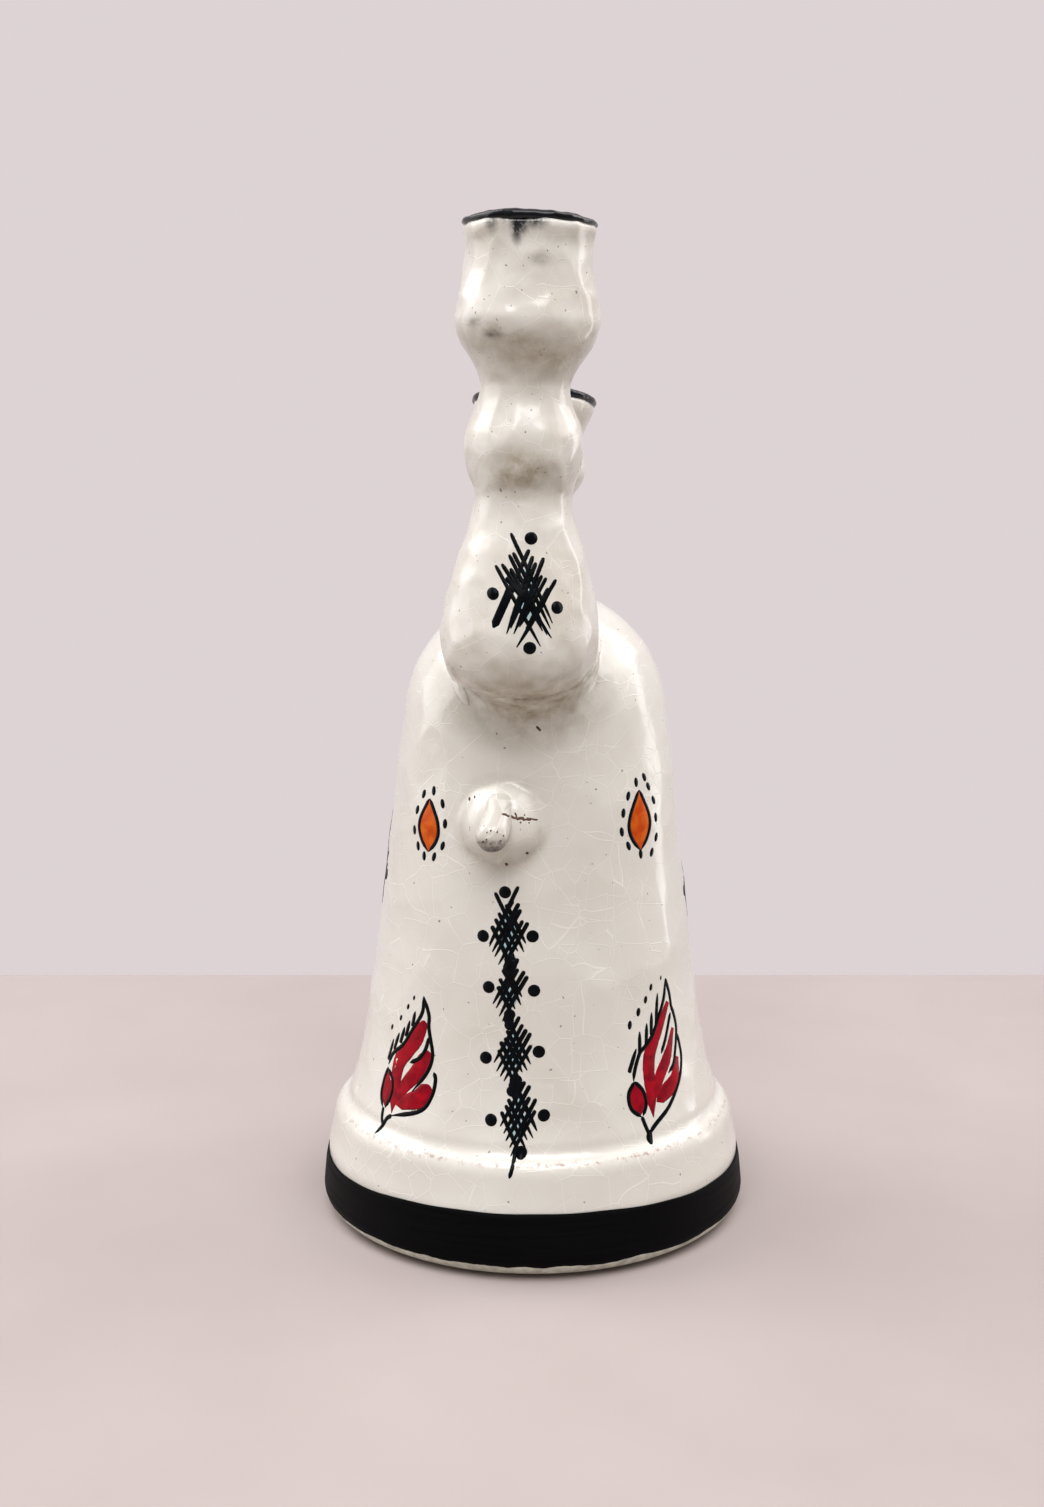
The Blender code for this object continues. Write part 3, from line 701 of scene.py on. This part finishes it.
def lobeEnds(t):
    # broad and round at the tip, drawn in towards the root
    return min(1, (t / 0.2) ** 0.5 + 0.12, (1 - t) / 0.15 + 0.1) * (1 - 0.5 * t * t)


def flameEnds(t):
    return min(1, 0.35 + 1.7 * t, (1 - t) / 0.15 + 0.1) * (1 - 0.35 * max(0, t - 0.6) / 0.4)


class Canvas:
    # a skin, the axis it was thrown about, and where a motif's middle lies on it in degrees and millimetres
    def __init__(self, skin, axis, azimuth, level):
        self.skin, self.axis, self.inverse = skin, axis, axis.inverted()
        self.azimuth, self.level = radians(azimuth), level
        self.marks = []

    def cast(self, azimuth, level):
        out = Vector((sin(azimuth), -cos(azimuth), 0))
        start = self.axis @ ((out * paint["reach"] + Vector((0, 0, level))) * mm)
        inwards = self.axis.to_3x3() @ -out
        hit, place, normal, face = self.skin.ray_cast(start, inwards)
        return (place, normal) if hit else (start + inwards * paint["reach"] * mm, -inwards)

    def lay(self, x, y):
        middle = self.inverse @ self.cast(self.azimuth, self.level + y)[0] / mm
        return self.cast(self.azimuth + x / hypot(middle.x, middle.y), self.level + y)

    def stroke(self, points, width, ends, mark="dab", crown=paint["crown"]):
        piece = brush[mark].copy()
        piece.data = brush[mark].data.copy()
        bpy.context.scene.collection.objects.link(piece)
        path = [Vector(point) for point in points]
        for vert in piece.data.vertices:
            side, lift = vert.co.yz
            t = clamp(vert.co.x)
            heading = through(path, t + paint["tangent"]) - through(path, t - paint["tangent"])
            across = Vector((-heading.y, heading.x)).normalized()
            share = ends(t)
            spot = through(path, t) + across * (side * share * width / 2)
            place, normal = self.lay(spot.x, spot.y)
            height = crown if lift > 0 else paint["root"]
            depth = height * lift - paint["edge"] * (1 - max(0, lift))
            vert.co = place + normal * (depth * min(1, share + paint["thin"]) * mm)
        self.marks.append(piece)

    def dot(self, x, y, width, height, angle=0):
        reach = Vector((sin(radians(angle)), cos(radians(angle)))) * height / 2
        self.stroke([(x + reach.x, y + reach.y), (x - reach.x, y - reach.y)], width, roundEnds)

    def finish(self, name, material, slot):
        piece = self.marks[0]
        pick(*self.marks)
        bpy.ops.object.join()
        piece.name = piece.data.name = name
        self.marks = []
        finish(piece, material, slot)


upright = Matrix.Identity(4)
hatch = {
    "slope": 62, "width": 1.38, "uneven": (0.9, 1.15), "waver": 0.25,
    "long": ((2.6, 5), (2, 4.4)), "short": ((1, 2.6), (1.6, 3.8)),  # the fringe, above and below
    "knot": {"width": 3.9, "uneven": (0.85, 1.1), "aside": 0.5, "step": 1.5, "flat": 0.8},
    "dot": (4.1, 3.5), "tail": 1.3,
}


def hatchLozenge(canvas, centre, count, step, draw):
    # two sets of slanted strokes that cross in a lozenge and run out past its edge as a fringe
    slope, waver, reach = radians(hatch["slope"]), hatch["waver"], step * (count - 1) / 2
    for mirror, (above, below) in ((1, hatch["long"]), (-1, hatch["short"])):
        along = Vector((cos(slope) * mirror, sin(slope)))
        beside = Vector((-along.x, along.y))
        for index in range(count):
            middle = Vector(centre) + beside * (step * index - reach + draw.uniform(-waver, waver))
            top = middle + along * (reach + draw.uniform(*above))
            low = middle - along * (reach + draw.uniform(*below))
            bend = (top + low) / 2 + beside * draw.uniform(-waver, waver)
            canvas.stroke([top, bend, low], hatch["width"] * draw.uniform(*hatch["uneven"]), dragEnds)


# A chain of four hatched lozenges with knots between them and a dot on each side; places are across and up
chain = {
    "lozenges": [(-1.6, 26), (-1, 9.9), (0.2, -8), (2.1, -25.8)],
    "weaves": [(5, 1.95), (4, 2), (5, 2), (5, 1.95)],  # strokes each way and how far apart
    "wash": (5.6, 6),  # width and half height
    "cross": [[(-5.6, 37.4), (2.9, 21)], [(1.1, 39.4), (-7.1, 22)]],
    "knots": [(-1, 17.2), (-0.7, 1.6), (0.8, -16.8)],
    "dots": [(-2.7, 37.6), (-9, 24.8), (5.3, 25.4), (-7.1, 10.5), (5.9, 10.1), (-7.6, -9.5), (7.5, -7.1),
             (-5.6, -26.4), (9.4, -24.7), (3.3, -34.5)],
    "tails": [[(1.8, -33), (1.3, -37.6), (0.5, -40.6)]],
}
# One larger lozenge with four dots for each side; from the front only a dot and the fringe peep round
sideLozenge = {
    "lozenges": [(0, 0)], "weaves": [(6, 2.6)], "wash": (8, 9), "cross": [], "knots": [], "tails": [],
    "dots": [(0, 16.5), (-8.8, 0), (8.8, 0), (0, -16.5)],
}


def lozengeChain(name, form, azimuth, level, seed):
    draw = random.Random(seed)
    canvas = Canvas(shell, upright, azimuth, level)
    wide, tall = form["wash"]
    for x, y in form["lozenges"]:
        canvas.stroke([(x, y + tall), (x, y - tall)], wide, almondEnds, "line", paint["film"])
    canvas.finish(name + "_wash", washBlue, "cream_glaze")
    for centre, (count, step) in zip(form["lozenges"], form["weaves"]):
        hatchLozenge(canvas, centre, count, step, draw)
    for points in form["cross"]:
        canvas.stroke(points, hatch["width"], dragEnds)
    knot = hatch["knot"]
    for x, y in form["knots"]:
        for step in (-1, 0, 1):
            size = knot["width"] * draw.uniform(*knot["uneven"])
            aside = draw.uniform(-knot["aside"], knot["aside"])
            canvas.dot(x + aside, y + knot["step"] * step, size, size * knot["flat"])
    for x, y in form["dots"]:
        canvas.dot(x, y, *hatch["dot"])
    for points in form["tails"]:
        canvas.stroke(points, hatch["tail"], lineEnds)
    canvas.finish(name, brushBlack, "black_band")


# An almond drop in a ring of dashes
leftAlmond = {
    "top": (-0.6, 7.7), "low": (0.5, -7.4), "wide": 8.5,
    "dashes": [(-3.4, 8.7), (0.8, 10.2), (-5.7, 3.8), (4.8, 7), (-6.4, -2.2), (6.5, 1.5), (-4.2, -6.5),
               (6.2, -4.9), (-1.1, -8.9), (3.1, -8.5)],
}
rightAlmond = {
    "top": (0.9, 8.8), "low": (0, -8.4), "wide": 8.9,
    "dashes": [(-0.1, 11.2), (3.6, 12.2), (5.3, 9.3), (-3.7, 7.7), (7.4, 5), (-6, 3.1), (7.8, -0.1),
               (-6.9, -2.2), (7.5, -5.8), (-4.7, -6.5), (4.9, -9.8), (-0.1, -9.5)],
}
sprig = {  # brush sizes and turns for the almonds and leaves
    "line": 1.4, "whisker": 1.5, "dash": (1.8, 2.8), "dashTurn": -0.6, "dotLength": 1.5, "dotTurn": 15,
}


def almondDrop(name, form, azimuth, level):
    canvas = Canvas(shell, upright, azimuth, level)
    top, low = Vector(form["top"]), Vector(form["low"])
    canvas.stroke([top, low], form["wide"], almondEnds, "line", paint["drop"])
    canvas.finish(name + "_drop", brushOrange, "cream_glaze")
    for side in (1, -1):
        edge = [top.lerp(low, t) + Vector((side * form["wide"] / 2 * almondEnds(t), 0))
                for t in (0, 0.2, 0.4, 0.6, 0.8, 1)]
        canvas.stroke(edge, sprig["line"], lineEnds, "line", paint["line"])
    for x, y in form["dashes"]:
        canvas.dot(x, y, *sprig["dash"], sprig["dashTurn"] * x * y)
    canvas.finish(name + "_outline", brushBlack, "black_band")


# A leaf spray: red lobes and a petal, black outlines, a row of whiskers and a row of dots
leftLeaf = {
    "ends": lobeEnds,
    "lobes": [
        (6.3, [(3.2, 14.6), (-0.2, 8.6), (-5, 1.8), (-5.8, -2.6), (-5.6, -8.1), (-5.2, -13.6)]),
        (6, [(5.9, 6.4), (2.3, 0.1), (-1.7, -5), (-4.6, -10.4)]),
        (6.8, [(8, -3.4), (4.7, -7), (1.2, -8.6), (-4.2, -10.8)]),
    ],
    "petal": (5.4, [(-10, -2.2), (-9.3, -7.6), (-8.5, -12.9)]),
    "lines": [
        [(1.7, 21.7), (4.2, 16.6), (4.6, 13.1), (6.5, 7.9), (7, 4.5), (5.6, 0.1), (1.5, -5.8)],
        [(8.1, 0.9), (9.1, -1.3), (8.6, -6.2), (5.6, -10.5), (-4.8, -14.1)],
        [(1.7, 21.7), (1.6, 16.8), (-1.7, 11.1), (-4.7, 6.2), (-8.8, 2.7), (-10.4, -0.9)],
        [(-10.2, -1.6), (-11.6, -6.2), (-11.8, -9.8), (-9.8, -12.9)],
        [(-10, -2), (-7.2, -4.6), (-6.8, -8.6), (-8.6, -12.9)],
        [(5.2, 10.6), (4.2, 6.6), (2.2, 3.7), (-1, 1.9)],
        [(-9.4, -12.8), (-8.9, -16), (-8, -17.6)],
        [(-4.8, -14.1), (-6.6, -15.3), (-7.8, -17.4), (-9.4, -20)],
    ],
    "whiskers": [[(-1.8, 12.2), (-1.2, 16.7)], [(-4, 8.8), (-3.1, 13.6)], [(-5.9, 6.5), (-5, 11.3)],
                 [(-8.4, 3.9), (-7, 9.2)], [(-11.1, 0.3), (-9.3, 6.8)]],
    "dots": [(-2.1, 20.5, 1), (-4.4, 17.4, 1.2), (-7.2, 13.5, 1.2), (-10.9, 9.9, 1.2)],
}
rightLeaf = {
    "ends": flameEnds,
    "lobes": [
        (5.2, [(8.2, 15.2), (3.6, 9.2), (-0.9, 4), (-2.6, -0.5), (-3.4, -8.7), (-4, -15.4)]),
        (4.6, [(9.7, 7.2), (5.7, 0.2), (0.8, -5.4), (-2.4, -11)]),
        (5.4, [(10.3, -1.4), (7, -7.4), (2.6, -9.6), (-1.8, -11.5)]),
    ],
    "petal": (6.2, [(-8.7, -4.6), (-8.7, -9.4), (-8.4, -14)]),
    "lines": [
        [(8, 22.1), (9.4, 17.5), (9.7, 12.7)],
        [(9.2, 14.6), (11.2, 9.4), (11.4, 5.1), (8.4, -2.2), (5, -4.9)],
        [(11.6, 5.6), (12.6, 1), (12.3, -2.9), (9, -8.4), (3.1, -13.7), (-4, -17.5), (-7.2, -20)],
        [(9, 11.8), (5.9, 5.8), (2.9, 1.3)],
        [(8, 22.1), (6.4, 16.4), (2.7, 10.8), (0.1, 7.2), (-3.7, 4.5), (-5.7, 3.1), (-8.2, -1.6),
         (-9, -4.2)],
        [(-8.7, -4.4), (-11.3, -7.4), (-11.2, -11.6), (-8.2, -14.4)],
        [(-8.7, -4.4), (-6.2, -7.4), (-5.8, -11.2), (-7.6, -14.2)],
        [(-8.1, -14.3), (-7.4, -17.4), (-6.6, -20)],
    ],
    "whiskers": [[(2, 9.6), (3.8, 18.7)], [(-0.4, 7.3), (0.7, 13.7)], [(-2.9, 5), (-1.6, 11)],
                 [(-5.7, 3.1), (-4.7, 9.2)], [(-10.1, -1.6), (-6.7, 4.7)]],
    "dots": [(5.7, 22.8, 0.9), (1.1, 21, 1.4), (-1.3, 17.8, 1.5), (-4.4, 14.8, 1.7), (-8, 11.7, 1.7),
             (-6.8, -20.2, 2.6)],
}


def leafSpray(name, form, azimuth, level):
    canvas = Canvas(shell, upright, azimuth, level)
    for width, points in form["lobes"]:
        canvas.stroke(points, width, form["ends"], "line", paint["lobe"])
    width, points = form["petal"]
    canvas.stroke(points, width, almondEnds, "line", paint["lobe"])
    canvas.finish(name + "_lobes", brushRed, "cream_glaze")
    for points in form["lines"]:
        canvas.stroke(points, sprig["line"], lineEnds, "line", paint["line"])
    for points in form["whiskers"]:
        canvas.stroke(points, sprig["whisker"], dragEnds)
    for x, y, width in form["dots"]:
        canvas.dot(x, y, width, width * sprig["dotLength"], sprig["dotTurn"])
    canvas.finish(name + "_lines", brushBlack, "black_band")


lozengeChain("front_chain", chain, -7, 70, seed=3)
lozengeChain("back_chain", chain, 180, 72, seed=7)
lozengeChain("right_lozenge", sideLozenge, 94.2, 98.5, seed=5)
lozengeChain("left_lozenge", sideLozenge, -92.2, 104, seed=9)
sprigs = {  # azimuth and level of each almond and of the leaf below it
    "left": (leftAlmond, -45.2, 123.7, leftLeaf, -42.7, 53.2),
    "right": (rightAlmond, 44.7, 125.2, rightLeaf, 42.7, 56.1),
    "back_right": (leftAlmond, 138, 125, leftLeaf, 136, 54),
    "back_left": (rightAlmond, -136, 124, rightLeaf, -133.5, 55),
}
for name, (almond, almondTurn, almondLevel, leaf, leafTurn, leafLevel) in sprigs.items():
    almondDrop(name + "_almond", almond, almondTurn, almondLevel)
    leafSpray(name + "_leaf", leaf, leafTurn, leafLevel)

# The crossed strokes on the front of each neck: a width, then the upper end and the lower one
neckMark = {
    "strokes": [
        (1.2, [(-4.13, 14.74), (7.46, -8.69)]), (1.2, [(-4.43, 9.09), (5.99, -11.83)]),
        (1.2, [(-3.4, 9.7), (6.9, -10.15)]), (1.2, [(-8.23, 6.16), (4.23, -14.84)]),
        (1.3, [(-6.48, 6.58), (7.25, -12.66)]), (1.3, [(-4.13, 5.54), (4.74, -10.78)]),
        (2.6, [(-3.6, 1.2), (-8.6, -10.2)]), (1.3, [(0.89, 10.56), (-6.4, -5.4)]),
        (1.3, [(1.89, 8.88), (-4.89, -11.62)]), (1.3, [(2.73, 7.2), (-3.84, -10.15)]),
        (1.3, [(4.82, 8.46), (-3, -11.62)]), (1.2, [(4.4, 3.86), (-1.96, -9.74)]),
        (1.2, [(5.66, 3.23), (-1.54, -9.74)]), (1.3, [(8.5, 2.73), (-2.21, -15.18)]),
        (1.2, [(6.33, 0.51), (0.13, -10.2)]), (1.6, [(-5.2, 3.2), (3.5, -7)]),
    ],
    "broad": 2,  # a stroke over that width stops blunt
    "dots": [(1.39, 13.5), (-9, -1.3), (8.84, -4.6), (1.31, -15.3)], "dot": (4.1, 3.4),
    "wash": [(0, 6), (0.5, -8)], "washWidth": 6, "film": 0.04,
}


def neckLozenge(neck, azimuth, level, scale):
    canvas = Canvas(skins[neck["name"]], neckPlace(neck), azimuth, level)
    canvas.stroke(neckMark["wash"], neckMark["washWidth"] * scale, almondEnds, "line", neckMark["film"])
    canvas.finish(neck["name"] + "_wash", washBlue, "cream_glaze")
    for width, (top, low) in neckMark["strokes"]:
        ends = lineEnds if width > neckMark["broad"] else dragEnds
        canvas.stroke([Vector(top) * scale, Vector(low) * scale], width, ends, "line")
    for x, y in neckMark["dots"]:
        canvas.dot(x * scale, y * scale, *neckMark["dot"])
    canvas.finish(neck["name"] + "_lozenge", brushBlack, "black_band")


neckLozenge(frontNeck, 9.7, 11.7, 1.0)
neckLozenge(rearNeck, 0, 8, 0.85)

# Kiln marks: a crack and pits at the stud, and flecks under the front neck
kiln = {
    "cracks": [(0.7, [(3.4, 4), (4.4, 3.4), (5.4, 3)]), (0.5, [(4.9, 4.6), (5.3, 3.9), (5.5, 3.2)]),
               (0.9, [(5.4, 2.8), (6.6, 3.1), (7.6, 2.8)]), (0.6, [(7.2, 2.4), (8, 2.6), (8.8, 2.4)]),
               (0.9, [(8.2, 2.9), (9, 2.5), (9.7, 2.6)]), (0.5, [(9.6, 2.6), (10.6, 2.2), (11.6, 2)])],
    "rootCrack": (0.6, [(0.2, 0.4), (1.3, 0.2), (2.4, -0.3), (3.3, -0.4)]),
    "pits": [(-10.8, 6.7, 1.1), (-8.6, 7.5, 0.8), (1.9, -10.8, 1.2), (8.2, -7.4, 1.1), (6.6, 1.9, 0.6),
             (9, 1.6, 0.5), (7.6, 3.8, 0.5)],  # across, up and width
    "tipPits": [(-2.5, -0.7, 0.6), (-1.4, 0, 0.5), (-1.25, 1.9, 0.4), (-0.2, 2.4, 0.5), (1.6, 2, 0.5),
                (2.7, -0.5, 0.6), (3.6, 0.8, 0.5)],
    "fleckLevel": 154, "fleckWidth": 0.8, "fleck": [(0.6, 0.4), (1.2, -0.2), (1.9, -1)],
    "azimuth": -12.3, "pitForm": (0.8, 60), "tipForm": (1.2, 40),  # a pit's length by its width, and its turn
}


def makeKilnMarks():
    canvas = Canvas(shell, upright, kiln["azimuth"], mound["level"])
    for width, points in kiln["cracks"]:
        canvas.stroke(points, width, lineEnds, "dab", paint["crack"])
    long, turned = kiln["pitForm"]
    for x, y, width in kiln["pits"]:
        canvas.dot(x, y, width, width * long, turned)
    below = Canvas(shell, upright, 0, kiln["fleckLevel"])
    below.stroke(kiln["fleck"], kiln["fleckWidth"], lineEnds)
    atRoot = Canvas(skins["stud"], shift(stud["root"]), 0, 0)
    width, points = kiln["rootCrack"]
    atRoot.stroke(points, width, lineEnds, "dab", paint["crack"])
    tip = studPlace() @ Vector((0, 0, stud["length"] * mm))
    onTip = Canvas(skins["stud"], Matrix.Translation(tip), 0, 0)
    long, turned = kiln["tipForm"]
    for x, y, width in kiln["tipPits"]:
        onTip.dot(x, y, width, width * long, turned)
    canvas.marks += below.marks + atRoot.marks + onTip.marks
    canvas.finish("kiln_marks", ironBrown, "bare_clay")


makeKilnMarks()

# A fold of clay drawn up from the dome to the front neck's root
fold = {"azimuth": -36.7, "level": 163.6, "width": 3.4, "crown": 0.5,
        "path": [(-3.8, 3.6), (-1.6, 2), (1, -0.2), (3.5, -2.6), (5.2, -4.6)]}
canvas = Canvas(shell, upright, fold["azimuth"], fold["level"])
canvas.stroke(fold["path"], fold["width"], almondEnds, "line", fold["crown"])
canvas.finish("root_fold", creamGlaze, "cream_glaze")
for mark in brush.values():
    bpy.data.objects.remove(mark, do_unlink=True)
print("painting done")


# Camera, light and stage

view = {"x": -3.35, "distance": 543, "height": 232.5, "pitch": 9.7, "lens": 43.5, "sensor": 36, "near": 10}
bpy.ops.object.camera_add(location=Vector((view["x"], -view["distance"], view["height"])) * mm,
                          rotation=(radians(90 - view["pitch"]), 0, 0))
camera = bpy.context.object
camera.data.lens = view["lens"]
camera.data.sensor_width = view["sensor"]
camera.data.clip_start = view["near"] * mm
bpy.context.scene.camera = camera

softboxes = {  # place and size in metres, and watts
    "overhead": ((0, 0.2, 1.15), (1, 0.8), 0.8),
    "left": ((-0.75, 0.25, 0.95), (0.9, 0.9), 5.5),
    "right": ((0.75, 0.25, 0.95), (0.9, 0.9), 4.6),
    "left panel": ((-1, 0.15, 0.56), (0.8, 1), 3),
    "right strip": ((0.85, 0.3, 0.35), (0.2, 1), 1.4),
    "front": ((0.05, -0.8, 1.5), (1.5, 1), 20.2),
}
middle = Vector((0, 0, 0.14))  # all are turned to the vase's middle
for name, (place, size, power) in softboxes.items():
    aim = (middle - Vector(place)).to_track_quat("-Z", "Y").to_euler()
    bpy.ops.object.light_add(type="AREA", location=place, rotation=aim)
    lamp = bpy.context.object
    lamp.name = name + " softbox"
    lamp.data.shape = "RECTANGLE"
    lamp.data.size, lamp.data.size_y = size
    lamp.data.energy = power

# the wall is pale to the eye and in the gloss; the rest of the room is dim, and lighter above than below
studio = {"wall": "#ddd3d4", "room": "#e6e2de", "floorLevel": 0.1, "ceilingLevel": 0.55}
world = bpy.data.worlds.new("pale studio")
world.use_nodes = True
bpy.context.scene.world = world
tree = world.node_tree
heading = addNode(tree, "TexCoord", {}, "Generated")
towards = addNode(tree, "SeparateXYZ", {0: heading}, "Y")
upwards = addNode(tree, "SeparateXYZ", {0: heading}, "Z")
behind = addNode(tree, "MapRange", {0: towards, 1: -0.1, 2: 0.4})
shine = addNode(tree, "LightPath", {}, "Is Glossy Ray")
gloss = addNode(tree, "Math", {0: shine, 1: behind}, operation="MULTIPLY")
eye = addNode(tree, "LightPath", {}, "Is Camera Ray")
clear = addNode(tree, "LightPath", {}, "Is Transmission Ray")
seen = addNode(tree, "Math", {0: eye, 1: clear}, operation="MAXIMUM")
seen = addNode(tree, "Math", {0: seen, 1: gloss}, operation="MAXIMUM")
level = addNode(tree, "MapRange", {0: upwards, 1: -0.6, 2: 0.8, 3: studio["floorLevel"],
                                   4: studio["ceilingLevel"]})
room = addNode(tree, "Background", {"Color": linear(studio["room"]), "Strength": level})
wall = addNode(tree, "Background", {"Color": linear(studio["wall"]), "Strength": 1.0})
both = addNode(tree, "MixShader", {0: seen, 1: room, 2: wall})
feed(tree, tree.nodes["World Output"], {"Surface": both})

# a pale table that ends where the wall begins
table = {"width": 3, "near": -1.5, "far": 0.235, "pale": "#b7aba9", "grey": "#b3a6a4", "bounce": "#a0978f"}
deselectAll()
bpy.ops.mesh.primitive_plane_add(size=1)
floor = bpy.context.object
floor.name = "floor"
floor.scale = (table["width"], table["far"] - table["near"], 1)
floor.location = (0, (table["near"] + table["far"]) / 2, 0)
bpy.ops.object.transform_apply(location=True, scale=True)
material, tree, shader, place = startMaterial("pale table")
eye = addNode(tree, "LightPath", {}, "Is Camera Ray")
shine = addNode(tree, "LightPath", {}, "Is Glossy Ray")
seen = addNode(tree, "Math", {0: eye, 1: shine}, operation="MAXIMUM")
grain = addNode(tree, "TexNoise", {"Vector": place, "Scale": 1 / (60 * mm), "Detail": 3})
stops = [(0.3, linear(table["pale"])), (0.7, linear(table["grey"]))]
pale = addNode(tree, "ValToRGB", {0: grain}, stops=stops)
colour = addNode(tree, "Mix", {"Factor": seen, 6: linear(table["bounce"]), 7: pale}, 2, data_type="RGBA")
feed(tree, shader, {"Base Color": colour, "Roughness": 0.75})
floor.data.materials.append(material)

bpy.context.scene.view_settings.view_transform = "Standard"
print("scene ready")
